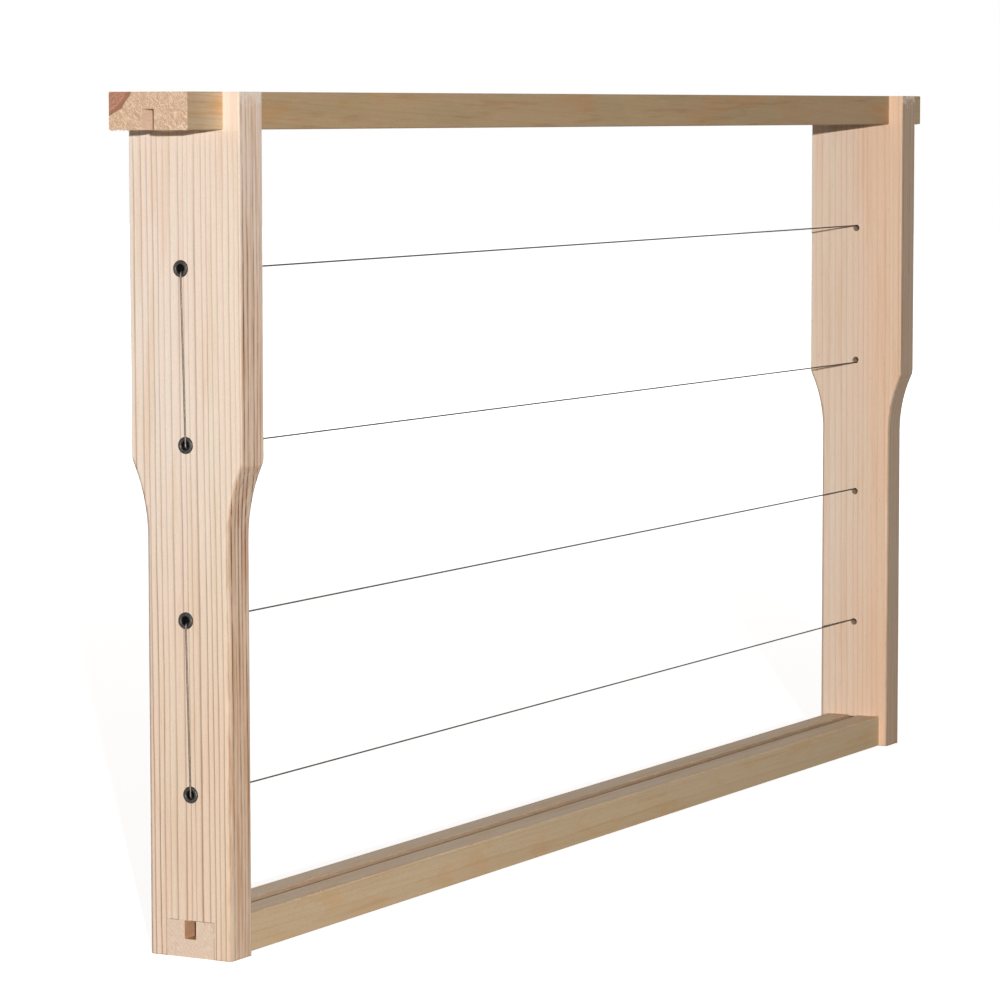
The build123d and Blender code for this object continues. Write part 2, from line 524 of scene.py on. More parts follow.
    def _rings(self, g: Graph, axes: Axes) -> tuple[Socket, Socket]:
        """Work out the growth rings.

        The radius is the distance from the pith line, pushed in and out by slow noise that is
        stretched along the grain. The ring count is the radius over the ring width, sped up
        and slowed by noise along the radius, as thin and thick years do.

        Args:
            g: The material's graph.
            axes: The two cross axes and the long axis.

        Returns:
            The ring count as a running number, and the share of the way through its ring.
        """
        first = g.maths("SUBTRACT", axes[0], self.pith[0])
        second = g.maths("SUBTRACT", axes[1], self.pith[1])
        square = g.maths("MULTIPLY_ADD", first, first, g.maths("MULTIPLY", second, second))
        radius = g.maths("MULTIPLY_ADD", axes[2], self.slope, g.maths("SQRT", square))
        drift = g.maths("SUBTRACT", self._lumps(g, axes, 14 * MM, 110 * MM), 0.5)
        radius = g.maths("MULTIPLY_ADD", drift, 2 * self.wander, radius)
        quiver = g.maths("SUBTRACT", self._lumps(g, axes, 2.5 * MM, 16 * MM, shift=7.0), 0.5)
        radius = g.maths("MULTIPLY_ADD", quiver, 0.35 * self.wander, radius)
        years = g.noise(g.join(g.maths("DIVIDE", radius, 3.5 * self.ring), 0.0, 0.0), 1.0)
        count = g.maths("MULTIPLY_ADD", years, 2.0, g.maths("DIVIDE", radius, self.ring))
        return count, g.maths("FRACT", count)

    def _late(self, g: Graph, axes: Axes, count: Socket, share: Socket, steep: Socket) -> Socket:
        """Tell how dark the late wood is.

        Each ring has a strength of its own, which fades in and out along the grain, and the
        whole pattern strengthens and weakens along the bar. On steep faces the plane has torn
        the lines into dashes.

        Args:
            g: The material's graph.
            axes: The two cross axes and the long axis.
            count: The ring count.
            share: The share of the way through the ring.
            steep: How steep the face is, from 0 to 1.

        Returns:
            The darkness from 0 to 1.
        """
        ring = g.maths("FLOOR", count)
        strength = g.span(g.chance(ring), 0.0, 1.0, self.faintest, 1.0)
        fade = g.noise(g.join(g.maths("MULTIPLY", ring, 3.7), 0.0,
                              g.maths("DIVIDE", axes[2], 45 * MM)), 2.0)
        strength = g.maths("MULTIPLY", strength, g.span(fade, 0.32, 0.62, 0.6, 1.0))
        dashes = g.span(self._lumps(g, axes, 0.9 * MM, 11 * MM, 2.0, 0.6, shift=37.0),
                        0.36, 0.56, 0.35, 1.1)
        broad = g.maths("MULTIPLY", g.curve(share, self.ring_cut), g.course(axes[2], self.lines))
        edge = g.maths("MULTIPLY", g.curve(share, self.steep_cut),
                       g.course(axes[2], self.steep_lines))
        profile = g.mix(steep, broad, g.maths("MULTIPLY", edge, dashes))
        return g.maths("MULTIPLY", profile, strength, clamp=True)

    def _side_colour(self, g: Graph, axes: Axes, count: Socket, late: Socket,
                     steep: Socket) -> Socket:
        """Colour the faces along the grain.

        Every ring has its own tint between the early colour and its blush. Late wood, stains,
        fibres, grit and short resin flecks go over it.

        Args:
            g: The material's graph.
            axes: The two cross axes and the long axis.
            count: The ring count.
            late: How dark the late wood is, from 0 to 1.
            steep: How steep the face is, from 0 to 1.

        Returns:
            The colour.
        """
        ring = g.maths("FLOOR", count)
        cloud = g.span(self._lumps(g, axes, 7 * MM, 80 * MM, shift=3.0), 0.38, 0.62, smooth=True)
        tint = g.maths("MULTIPLY_ADD", g.chance(g.maths("ADD", ring, 17.3)), 0.55,
                       g.maths("MULTIPLY", cloud, 0.45))
        colour = g.mix(tint, self.early, self.blush)
        # Steep faces are multiplied by their tone: partly their own tone, partly painted shade by
        # the face's direction.
        colour = g.mix(steep, colour, g.mix(1.0, colour, self.steep_tone_and_shade, "MULTIPLY"))
        for stain in self.stains:
            patch = self._lumps(g, axes, stain.across, stain.along, 3.0, 0.55, shift=stain.shift)
            patch = g.span(patch, stain.low, stain.high, smooth=True)
            patch = g.maths("MULTIPLY", patch, stain.faces.share(g, steep))
            colour = g.mix(patch, colour, g.mix(1.0, colour, stain.tone, "MULTIPLY"))
        dark = g.mix(g.chance(g.maths("ADD", ring, 41.9)), self.late, self.late_blush)
        colour = g.mix(late, colour, g.mix(steep, dark, self.steep_late))
        fibre = self._lumps(g, axes, 0.22 * MM, 6 * MM, 3.0, 0.65)
        shade = g.span(fibre, 0.3, 0.7, 1 - self.fibre_depth, 1 + 0.8 * self.fibre_depth)
        grit = g.span(self._lumps(g, axes, 0.30 * MM, 0.55 * MM, 2.0, 0.7, shift=31.0), 0.3, 0.7,
                      1 - self.grit_depth, 1 + 0.8 * self.grit_depth)
        fleck = g.span(self._lumps(g, axes, 0.32 * MM, 3.2 * MM, 1.0, shift=11.0), 0.70, 0.78,
                       1.0, 0.86)
        shade = g.maths("MULTIPLY", g.maths("MULTIPLY", shade, grit), fleck)
        return g.mix(1.0, colour, g.join(shade, shade, shade), "MULTIPLY")

    def _torn(self, g: Graph, axes: Axes, colour: Socket, steep: Socket) -> Socket:
        """Whiten the steep faces near the top, where the saw has torn the fibres up.

        Args:
            g: The material's graph.
            axes: The two cross axes and the long axis.
            colour: The colour under the torn patch.
            steep: How steep the face is, from 0 to 1.

        Returns:
            The colour.
        """
        need = g.span(axes[2], self.torn_above, frame_top(), 0.68, 0.40)
        torn = self._lumps(g, axes, 0.5 * MM, 2.2 * MM, 3.0, 0.65, shift=5.0)
        torn = g.span(torn, need, g.maths("ADD", need, 0.08))
        torn = g.maths("MULTIPLY", g.maths("MULTIPLY", torn, steep), 0.8)
        return g.mix(torn, colour, self.torn_tone)

    def _end_colour(self, g: Graph, axes: Axes, share: Socket) -> Socket:
        """Colour the sawn ends.

        Torn fibre ends catch the light as short pale strokes along the saw's travel, whose
        direction turns a little from place to place. Soft rings show faintly through them.

        Args:
            g: The material's graph.
            axes: The two cross axes and the long axis.
            share: The share of the way through the ring.

        Returns:
            The colour.
        """
        turn = math.radians(self.saw_turn)
        sway = g.maths("MULTIPLY", g.maths("SUBTRACT", self._lumps(g, axes, 5 * MM, 9 * MM, 1.0,
                                                                   shift=43.0), 0.5), 4 * MM)
        over = g.maths("MULTIPLY_ADD", axes[0], math.cos(turn),
                       g.maths("MULTIPLY_ADD", axes[1], math.sin(turn), sway))
        down = g.maths("MULTIPLY_ADD", axes[0], -math.sin(turn),
                       g.maths("MULTIPLY", axes[1], math.cos(turn)))
        strokes = g.noise(g.join(g.maths("DIVIDE", over, self.stroke),
                                 g.maths("DIVIDE", down, 4.5 * self.stroke),
                                 g.maths("DIVIDE", axes[2], 2 * MM)), 2.0, 0.55)
        dots = g.noise(g.join(g.maths("DIVIDE", axes[0], 1.2 * self.stroke),
                              g.maths("DIVIDE", axes[1], 1.2 * self.stroke),
                              g.maths("DIVIDE", axes[2], 2 * MM)), 2.0, 0.6)
        patch = g.span(self._lumps(g, axes, 3.5 * MM, 9 * MM, 1.0, shift=47.0), 0.4, 0.6)
        marks = g.mix(patch, strokes, dots)
        light = g.maths("MULTIPLY", g.span(marks, 0.47, 0.60, smooth=True), self.stroke_share)
        dark = g.span(marks, 0.30, 0.44, 0.80, 1.0, smooth=True)
        colour = g.mix(1.0, self.end_tone, g.join(dark, dark, dark), "MULTIPLY")
        colour = g.mix(light, colour, self.stroke_tone)
        rings = g.maths("MULTIPLY", g.curve(share, self.ring_cut), 0.10)
        return g.mix(rings, colour, self.late)

    def _knotted(self, g: Graph, axes: Axes, colour: Socket) -> Socket:
        """Set the knot in: inside its egg the wood turns dark and speckled, with rings.

        Args:
            g: The material's graph.
            axes: The two cross axes and the long axis.
            colour: The colour round the knot.

        Returns:
            The colour.
        """
        spots = dict(zip(self.grain.value, axes))
        parts = [g.maths("DIVIDE", g.maths("SUBTRACT", spots[axis], self.knot.centre[index]),
                         self.knot.radii[index]) for index, axis in enumerate("XYZ")]
        square = g.maths("MULTIPLY", parts[0], parts[0])
        square = g.maths("MULTIPLY_ADD", parts[1], parts[1], square)
        square = g.maths("MULTIPLY_ADD", parts[2], parts[2], square)
        wobble = g.noise(g.join(*(g.maths("DIVIDE", axis, 3.5 * MM) for axis in axes)), 2.0)
        reach = g.maths("MULTIPLY_ADD", g.maths("SUBTRACT", wobble, 0.5), self.knot.wander,
                        g.maths("SQRT", square))
        specks = g.noise(g.join(*(g.maths("DIVIDE", axis, 0.5 * MM) for axis in axes)), 2.0, 0.7)
        rings = g.maths("MULTIPLY_ADD", g.maths("FRACT", g.maths("MULTIPLY", reach, 7.0)), 0.4,
                        g.span(specks, 0.35, 0.65, 0.0, 0.6))
        heart = g.mix(rings, self.knot.dark, self.knot.pale)
        rim = g.maths("MULTIPLY", g.span(reach, 0.86, 0.95), g.span(reach, 1.0, 0.96))
        heart = g.mix(g.maths("MULTIPLY", rim, 0.6), heart, self.knot.rim)
        inside = g.span(reach, 1.0, 0.97, smooth=True)
        return g.mix(g.maths("MULTIPLY", inside, 0.94), colour, heart)

    def _seamed(self, g: Graph, place: bpy.types.Node, colour: Socket) -> Socket:
        """Darken the seam round the tenon.

        The distance to the notch's outline is the larger of |y| less its half width and z less
        its height. The seam closes up here and there along its length.

        Args:
            g: The material's graph.
            place: The separated Object coordinates.
            colour: The colour beside the seam.

        Returns:
            The colour.
        """
        side = g.maths("SUBTRACT", g.maths("ABSOLUTE", place.outputs["Y"]), self.joint.half_width)
        over = g.maths("SUBTRACT", place.outputs["Z"], self.joint.height)
        away = g.maths("ABSOLUTE", g.maths("MAXIMUM", side, over))
        line = g.span(away, self.joint.seam, 0.3 * self.joint.seam)
        gaps = g.noise(g.join(*(g.maths("DIVIDE", place.outputs[axis], 2.5 * MM)
                                for axis in "XYZ")), 1.0)
        line = g.maths("MULTIPLY", line, g.span(gaps, 0.42, 0.52, 0.2, 0.9))
        return g.mix(line, colour, self.joint.tone)

    def _relief(self, g: Graph, axes: Axes, late: Socket, across: Socket) -> Socket:
        """Raise the fibres and late wood a little, and roughen the sawn ends.

        Args:
            g: The material's graph.
            axes: The two cross axes and the long axis.
            late: How dark the late wood is, from 0 to 1.
            across: How far the face looks along the grain, from 0 to 1.

        Returns:
            The bumped normal.
        """
        fibre = self._lumps(g, axes, 0.25 * MM, 5 * MM, 3.0, 0.65, shift=19.0)
        height = g.maths("MULTIPLY_ADD", late, 0.5, fibre)
        pores = g.noise(g.join(*(g.maths("DIVIDE", axis, 0.35 * MM) for axis in axes)), 3.0, 0.7)
        height = g.maths("MULTIPLY_ADD", g.maths("MULTIPLY", across, pores), 2.0, height)
        return g.bump(height, 0.06 * MM, 0.7)


@dataclass(frozen=True)
class SteelFinish:
    """Dull drawn or pressed steel with faint scratches and darker patches."""

    name: str
    tone: Colour
    patch: Colour
    roughness: float = 0.4
    lump: float = 0.6 * MM
    outer_lift: Colour | None = None
    outer_beyond: float = 0.0

    def material(self) -> bpy.types.Material:
        """Build the material.

        Steel that lies on an end bar's outer face, beyond the given distance from the middle, is
        made brighter.

        Returns:
            A Principled metal whose colour and roughness wander a little.
        """
        g = Graph(self.name)
        place = g.node("ShaderNodeTexCoord").outputs["Object"]
        scaled = g.node("ShaderNodeVectorMath", operation="SCALE")
        g.plug(place, scaled.inputs[0])
        g.plug(1 / self.lump, scaled.inputs["Scale"])
        cloud = g.noise(scaled.outputs[0], 4.0, 0.6)
        colour = g.mix(g.span(cloud, 0.35, 0.65), self.tone, self.patch)
        if self.outer_lift:
            spot = g.node("ShaderNodeSeparateXYZ")
            g.plug(place, spot.inputs[0])
            out = g.span(g.maths("ABSOLUTE", spot.outputs["X"]), self.outer_beyond,
                         self.outer_beyond + 0.1 * MM)
            colour = g.mix(out, colour, g.mix(1.0, colour, self.outer_lift, "MULTIPLY"))
        g.plug(colour, g.shader.inputs["Base Color"])
        g.plug(g.span(cloud, 0.3, 0.7, self.roughness - 0.08, self.roughness + 0.12),
               g.shader.inputs["Roughness"])
        g.plug(1.0, g.shader.inputs["Metallic"])
        g.plug(g.bump(cloud, 0.02 * MM, 0.5), g.shader.inputs["Normal"])
        return g.material


def dress(nodes: Sequence[str], finish: WoodFinish | SteelFinish) -> None:
    """Give CAD nodes a finish through their objects' own material slots.

    Args:
        nodes: The nodes' names.
        finish: Their one finish.
    """
    material = finish.material()
    for name in nodes:
        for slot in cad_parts[name].material_slots:
            slot.link = "OBJECT"
            slot.material = material
        log.info("dressed %s in %s", name, finish.name)


@dataclass(frozen=True)
class FibreFinish:
    """Loose torn wood fibres: pale straw, duller toward one end of the noise."""

    name: str = "pine_torn_fibre"
    pale: Colour = linear((228, 206, 178))
    dull: Colour = linear((186, 156, 124))

    def material(self) -> bpy.types.Material:
        """Build the material.

        Returns:
            A Principled material whose tone changes from fibre to fibre and along each one.
        """
        g = Graph(self.name)
        scaled = g.node("ShaderNodeVectorMath", operation="SCALE")
        g.plug(g.node("ShaderNodeTexCoord").outputs["Object"], scaled.inputs[0])
        g.plug(1 / (0.8 * MM), scaled.inputs["Scale"])
        cloud = g.noise(scaled.outputs[0], 3.0, 0.6)
        g.plug(g.mix(g.span(cloud, 0.35, 0.65), self.pale, self.dull),
               g.shader.inputs["Base Color"])
        g.plug(g.span(cloud, 0.3, 0.7, 0.6, 0.8), g.shader.inputs["Roughness"])
        g.plug(g.bump(cloud, 0.02 * MM, 0.5), g.shader.inputs["Normal"])
        g.plug(0.3, g.shader.inputs["Specular IOR Level"])
        return g.material


@dataclass
class TornFibres:
    """A row of slivers that stand or lie along a sawn edge, made as one mesh.

    The edge runs from start to end. Each sliver grows along lean, turned by up to spread, and
    is as long and thick as its own draw within the ranges. Gathered slivers crowd round a few
    places of the edge, as torn wood does.
    """

    name: str
    slot: str
    start: Point
    end: Point
    lean: Point
    count: int
    lengths: tuple[float, float]
    radii: tuple[float, float] = (0.05 * MM, 0.10 * MM)
    spread: float = 0.35
    gathers: int = 7
    sunk: float = 0.08
    seed: int = 1

    RINGS = 5
    CORNERS = 4

    def mesh(self) -> bpy.types.Mesh:
        """Work out the slivers.

        Sliver i has its foot at a place on the edge, a direction d and a length L. At a share s
        of its length its middle is foot + L (s d + 0.25 s squared c), where c is a curl across
        d, and its four corners stand r (1 - s) to the power 0.7 away from there. It starts a
        little below the surface, at s = -sunk, and ends in a point.

        Returns:
            A closed mesh with faces pointing outwards.
        """
        rng = np.random.default_rng(self.seed)
        start, end = np.array(self.start), np.array(self.end)
        middles = rng.uniform(0, 1, self.gathers)
        place = middles[rng.integers(0, self.gathers, self.count)]
        place = place + rng.normal(0, 0.35 / self.gathers, self.count)
        loose = rng.random(self.count) < 0.35
        place = np.where(loose, rng.uniform(0, 1, self.count), np.clip(place, 0, 1))
        foot = start + place[:, None] * (end - start)
        way = np.array(self.lean) + rng.normal(0, self.spread, (self.count, 3)) * np.linalg.norm(
            self.lean)
        way /= np.linalg.norm(way, axis=1, keepdims=True)
        curl = np.cross(way, rng.normal(0, 1, (self.count, 3)))
        curl /= np.linalg.norm(curl, axis=1, keepdims=True)
        other = np.cross(way, curl)
        low, high = self.lengths
        length = low + (high - low) * rng.random(self.count) ** 2
        radius = rng.uniform(*self.radii, self.count)
        share = np.linspace(-self.sunk, 0.92, self.RINGS)
        turn = np.arange(self.CORNERS) * 2 * np.pi / self.CORNERS
        bend = 0.25 * np.maximum(share, 0) ** 2
        middle = (foot[:, None] + length[:, None, None] * (share[:, None] * way[:, None]
                                                           + bend[:, None] * curl[:, None]))
        thick = radius[:, None] * np.clip(1 - share, 0, 1) ** 0.7
        around = (np.cos(turn)[:, None] * curl[:, None] + np.sin(turn)[:, None] * other[:, None])
        corners = middle[:, :, None] + thick[:, :, None, None] * around[:, None]
        tips = foot + length[:, None] * (way + 0.25 * curl)
        per = self.RINGS * self.CORNERS
        vertices = np.concatenate([corners.reshape(self.count, per, 3), tips[:, None]], axis=1)
        ring = np.arange(self.RINGS - 1)[:, None] * self.CORNERS
        corner = np.arange(self.CORNERS)
        following = (corner + 1) % self.CORNERS
        quads = np.stack([ring + corner, ring + following, ring + self.CORNERS + following,
                          ring + self.CORNERS + corner], axis=-1).reshape(-1, 4)
        quads = np.concatenate([quads, corner[None, ::-1]])
        last = per - self.CORNERS
        points = np.stack([last + corner, last + following, np.full(self.CORNERS, per)], axis=-1)
        offset = np.arange(self.count)[:, None, None] * (per + 1)
        faces = ((quads + offset).reshape(-1, 4).tolist()
                 + (points + offset).reshape(-1, 3).tolist())
        made = bpy.data.meshes.new(self.name)
        made.from_pydata(vertices.reshape(-1, 3).tolist(), [], faces)
        made.validate()
        return made

    def build(self, material: bpy.types.Material) -> bpy.types.Object:
        """Make the piece, dress it and let it ride on the frame.

        Args:
            material: The fibres' material.

        Returns:
            The piece.
        """
        mesh = self.mesh()
        mesh.materials.append(material)
        piece = bpy.data.objects.new(self.name, mesh)
        bpy.context.scene.collection.objects.link(piece)
        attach(piece, ROOT)
        log.info("made %s, %d slivers", self.name, self.count)
        return piece


@dataclass
class EndBars:
    """The two end bars, each a CAD node with its own cut of pine."""

    left: WoodFinish = WoodFinish(
        name="pine_left_end_bar", grain=Grain.UPRIGHT,
        early=linear((239, 226, 211)), blush=linear((241, 221, 207)),
        late=linear((132, 104, 80)), late_blush=linear((140, 96, 72)),
        end_tone=linear((196, 160, 130)),
        pith=(-299 * MM, 75 * MM), ring=1.3 * MM,
        lines=((0.0, 0.95), (80 * MM, 0.88), (125 * MM, 0.68), (215 * MM, 0.54), (224 * MM, 0.16)),
        steep_lines=((0.0, 0.45), (20 * MM, 0.60), (40 * MM, 1.1), (100 * MM, 1.2),
                     (114 * MM, 1.5), (130 * MM, 1.5), (136 * MM, 1.1), (165 * MM, 1.3),
                     (200 * MM, 1.0), (224 * MM, 0.60), (230 * MM, 0.3)),
        steep_tone_and_shade=(0.97, 0.93, 0.90),
        washes=(Wash("Z", 150 * MM, 50 * MM, (0.965, 0.895, 0.82)),
                Wash("Y", 6 * MM, -16 * MM, (1.0, 0.975, 0.95), faces=Faces.BROAD),
                Wash("Z", 205 * MM, 170 * MM, (0.97, 0.92, 0.87), faces=Faces.STEEP),
                Wash("Z", 60 * MM, 10 * MM, (0.99, 1.03, 1.08), faces=Faces.STEEP),
                Wash("X", -215.5 * MM, -213.2 * MM, (0.98, 1.05, 1.12), faces=Faces.STEEP),
                Wash("Z", 221.3 * MM, 222 * MM, (1.04, 1.05, 1.07), faces=Faces.BROAD),
                # Painted contact shadow, partly grime: the bottom 0.35 mm of the foot darkens where
                # it meets the floor.
                Wash("Z", 0.35 * MM, 0.05 * MM, (0.6, 0.55, 0.5))),
        stains=(Stain((0.96, 0.91, 0.86), 3 * MM, 60 * MM, 13.0, 0.5, 0.68, Faces.BROAD),
                Stain((0.84, 0.72, 0.62), 1.6 * MM, 34 * MM, 53.0, 0.46, 0.64, Faces.STEEP)),
        torn_above=224 * MM, joint=Joint(7.5 * MM, 10 * MM))
    right: WoodFinish = WoodFinish(
        name="pine_right_end_bar", grain=Grain.UPRIGHT,
        early=linear((238, 219, 200)), blush=linear((240, 212, 190)),
        late=linear((176, 140, 112)), late_blush=linear((172, 128, 98)),
        end_tone=linear((196, 160, 130)),
        pith=(290 * MM, 60 * MM),
        lines=((0.0, 0.30), (1.0, 0.30)), steep_lines=((0.0, 0.5), (1.0, 0.5)),
        # Painted shade: the right bar's front and back edges are made much darker than its faces.
        steep_tone_and_shade=(0.56, 0.53, 0.48),
        washes=(Wash("Y", 8 * MM, -16 * MM, (1.02, 0.92, 0.83), faces=Faces.BROAD),
                Wash("Z", 90 * MM, 20 * MM, (1.0, 0.96, 0.93)),
                # Painted contact shadow, partly grime: the bottom 0.35 mm of the foot darkens where
                # it meets the floor.
                Wash("Z", 0.35 * MM, 0.05 * MM, (0.6, 0.55, 0.5))),
        stains=(Stain((0.96, 0.91, 0.86), 3 * MM, 60 * MM, 13.0, 0.5, 0.68),),
        arris_painted_light=(0.9, 0.88, 0.86), torn_above=226 * MM, joint=Joint(7.5 * MM, 10 * MM))

    def build(self) -> None:
        """Dress both bars."""
        dress(["left_end_bar"], self.left)
        dress(["right_end_bar"], self.right)


@dataclass
class TopBar:
    """The grooved top bar, with a knot at its left end and torn fibres under its lugs' ends."""

    wood: WoodFinish = WoodFinish(
        name="pine_top_bar", grain=Grain.ALONG,
        early=linear((179, 152, 117)), blush=linear((173, 147, 112)),
        late=linear((120, 86, 58)), late_blush=linear((128, 84, 58)),
        end_tone=linear((206, 170, 140)),
        pith=(40 * MM, 177 * MM), ring=1.1 * MM, slope=0.03,
        lines=((-241 * MM, 0.30), (-150 * MM, 0.20), (241 * MM, 0.12)),
        steep_lines=((-241 * MM, 0.10), (-212 * MM, 0.12), (-205 * MM, 0.26), (-150 * MM, 0.20),
                     (0.0, 0.13), (241 * MM, 0.12)),
        fibre_depth=0.035, grit_depth=0.085, arris_painted_light=(0.92, 0.92, 0.92),
        steep_tone_and_shade=(0.93, 0.90, 0.87), stroke_share=0.75,
        washes=(Wash("X", 150 * MM, -150 * MM, (1.10, 1.10, 1.12)),
                Wash("X", 0.0, 190 * MM, (0.95, 0.94, 0.93)),
                # Painted light: the top bar is lifted where it meets the end bars, and the lugs
                # darken again toward their sawn ends, a painted bounce from the ears.
                Wash("X", 212 * MM, 223 * MM, (1.42, 1.44, 1.55), both_ways=True),
                Wash("X", 224 * MM, 241 * MM, (0.76, 0.79, 0.83), both_ways=True)),
        stains=(Stain((1.05, 0.93, 0.82), 9 * MM, 26 * MM, 61.0, 0.48, 0.66),
                Stain((0.93, 0.97, 0.96), 8 * MM, 34 * MM, 67.0, 0.48, 0.66),
                Stain((0.92, 0.84, 0.76), 2.2 * MM, 30 * MM, 13.0, 0.54, 0.70)),
        groove_half=1.8 * MM,
        knot=Knot(centre=(-246 * MM, 13.5 * MM, 234 * MM), radii=(22 * MM, 8.5 * MM, 8.5 * MM)))
    width: float = 24.5 * MM
    groove_width: float = 3.6 * MM
    fibre_reach: tuple[float, float] = (0.12 * MM, 0.5 * MM)
    fibre_count: int = 50
    fibre_inset: float = 0.35 * MM
    fibre_margin: float = 0.3 * MM
    fibre_root: float = 0.03 * MM

    def build(self) -> None:
        """Dress the bar and hang the torn fibres under the sawn ends of its lugs."""
        dress(["top_bar"], self.wood)
        low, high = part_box("top_bar")
        material = FibreFinish().material()
        for side, end in (("left", low[0]), ("right", high[0])):
            inward = 1 if side == "left" else -1
            foot = end + inward * self.fibre_inset
            for part, near, far in (("back", self.width / 2, self.groove_width / 2),
                                    ("front", -self.groove_width / 2, -self.width / 2)):
                TornFibres(
                    name=f"{side}_lug_fibres_{part}", slot="top_bar_wood",
                    start=(foot, near - self.fibre_margin, low[2] + self.fibre_root),
                    end=(foot, far + self.fibre_margin, low[2] + self.fibre_root),
                    lean=(0.25 * inward, 0.0, -1.0), count=self.fibre_count,
                    lengths=self.fibre_reach, spread=0.12, sunk=0.3,
                    seed=11 + 2 * (side == "right") + (part == "front")).build(material)


@dataclass
class BottomBar:
    """The grooved bottom bar, with splinters along its groove and its top front edge."""

    wood: WoodFinish = WoodFinish(
        name="pine_bottom_bar", grain=Grain.ALONG,
        early=linear((213, 189, 156)), blush=linear((207, 181, 145)),
        late=linear((140, 106, 72)), late_blush=linear((150, 104, 68)),
        end_tone=linear((226, 200, 178)), stroke_tone=linear((240, 228, 216)),
        stroke=0.34 * MM, stroke_share=0.45, saw_turn=-35.0,
        pith=(50 * MM, -40 * MM), ring=1.2 * MM,
        lines=((-224 * MM, 0.20), (224 * MM, 0.12)),
        steep_lines=((-224 * MM, 0.34), (-100 * MM, 0.22), (224 * MM, 0.12)),
        # Painted light: the top and bottom faces are cooled, standing for cool sky light on the
        # lands; the long arrises are lightened, a painted highlight partly standing for crushed
        # fibres.
        steep_tone_and_shade=(0.97, 0.98, 1.06), fibre_depth=0.04, grit_depth=0.085,
        arris_painted_light=(1.24, 1.22, 1.20),
        washes=(Wash("X", -180 * MM, 200 * MM, (0.86, 0.86, 0.84)),
                Wash("X", 213 * MM, 214.5 * MM, (1.08, 0.90, 0.76), both_ways=True)),
        stains=(Stain((1.0, 0.92, 0.82), 8 * MM, 22 * MM, 71.0, 0.52, 0.68),
                Stain((0.94, 0.86, 0.78), 2.5 * MM, 60 * MM, 13.0, 0.52, 0.70)),
        groove_half=1.8 * MM, groove=linear((190, 160, 134)))
    groove_width: float = 3.6 * MM
    bare: float = 4 * MM
    groove_lip: float = 0.05 * MM
    arris_in: float = 0.16 * MM
    arris_down: float = 0.11 * MM

    def build(self) -> None:
        """Dress the bar and lay the splinters on it."""
        dress(["bottom_bar"], self.wood)
        low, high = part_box("bottom_bar")
        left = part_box("left_end_bar")[1][0] + self.bare
        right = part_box("right_end_bar")[0][0] - self.bare
        material = FibreFinish(name="pine_splinter", pale=linear((222, 196, 164)),
                               dull=linear((190, 160, 128))).material()
        TornFibres(
            name="groove_splinters", slot="bottom_bar_wood",
            start=(left, self.groove_width / 2 + self.groove_lip, high[2]),
            end=(right, self.groove_width / 2 + self.groove_lip, high[2]),
            lean=(1.0, -0.08, 0.05), count=240, lengths=(1.2 * MM, 9 * MM),
            radii=(0.06 * MM, 0.16 * MM), spread=0.07, gathers=23, seed=21).build(material)
        TornFibres(
            name="front_edge_splinters", slot="bottom_bar_wood",
            start=(left, low[1] + self.arris_in, high[2] - self.arris_down),
            end=(right, low[1] + self.arris_in, high[2] - self.arris_down),
            lean=(1.0, 0.0, 0.0), count=150, lengths=(3 * MM, 16 * MM),
            radii=(0.07 * MM, 0.14 * MM), spread=0.008, gathers=17, sunk=0.02,
            seed=31).build(material)


@dataclass
class Steelwork:
    """Eyelets, wire, nails and tacks."""

    eyelets: SteelFinish = SteelFinish("steel_eyelet", linear((82, 80, 78)),
                                       linear((60, 58, 58)), 0.5)
    wire: SteelFinish = SteelFinish("steel_wire", linear((94, 88, 82)), linear((76, 70, 66)), 0.5,
                                    outer_lift=(1.75, 1.72, 1.62), outer_beyond=224.1 * MM)
    nails: SteelFinish = SteelFinish("steel_nail", linear((120, 120, 118)), linear((92, 90, 88)))

    def build(self) -> None:
        """Dress every steel piece by its kind."""
        names = sorted(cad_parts)
        dress([n for n in names if "eyelet" in n], self.eyelets)
        dress([n for n in names if "nail" in n or "tack" in n], self.nails)
        dress(["frame_wire"], self.wire)


